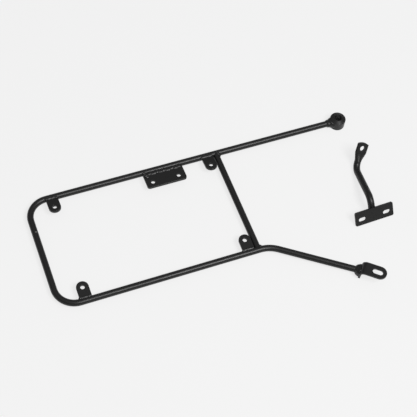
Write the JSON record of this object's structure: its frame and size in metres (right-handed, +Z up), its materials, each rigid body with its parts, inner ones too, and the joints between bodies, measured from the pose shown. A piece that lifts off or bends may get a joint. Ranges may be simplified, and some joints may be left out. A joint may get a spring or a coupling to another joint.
{
  "type": "motorbike pannier frame",
  "caption": "Black pannier frame of bent round bar with drilled bag tabs, a mounting eye and a slotted lug, and its loose bolt-on stay lying beside it.",
  "frame": {"origin": "centre of the mounting eye's bore on the eye's flat underside, which is on the floor", "axes": "+X along the rails from the hoop's rear side to the eye, +Y across the frame from the lower rail to the upper, +Z up along the eye's bore"},
  "size_m": [0.6541, 0.3673, 0.0452],
  "materials": {
    "black_coat": "satin black powder coat",
    "weld_coat": "satin black powder coat over rippled weld"
  },
  "bodies": {
    "root": {"hoop_bar": "black_coat", "cross_bar": "black_coat", "eye_boss": "black_coat", "slotted_lug": "black_coat", "tab_rear_upper": "black_coat", "tab_rear_lower": "black_coat", "tab_front_upper": "black_coat", "tab_front_lower": "black_coat", "stay_mount_plate": "black_coat", "stay_plate": "black_coat", "stay_rod": "black_coat", "weld_eye": "weld_coat", "weld_lug": "weld_coat", "weld_cross_upper": "weld_coat", "weld_cross_lower": "weld_coat", "weld_tab_rear_upper": "weld_coat", "weld_tab_rear_lower": "weld_coat", "weld_tab_front_upper": "weld_coat", "weld_tab_front_lower": "weld_coat", "weld_mount_plate": "weld_coat", "weld_stay": "weld_coat"}
  },
  "joints": []
}
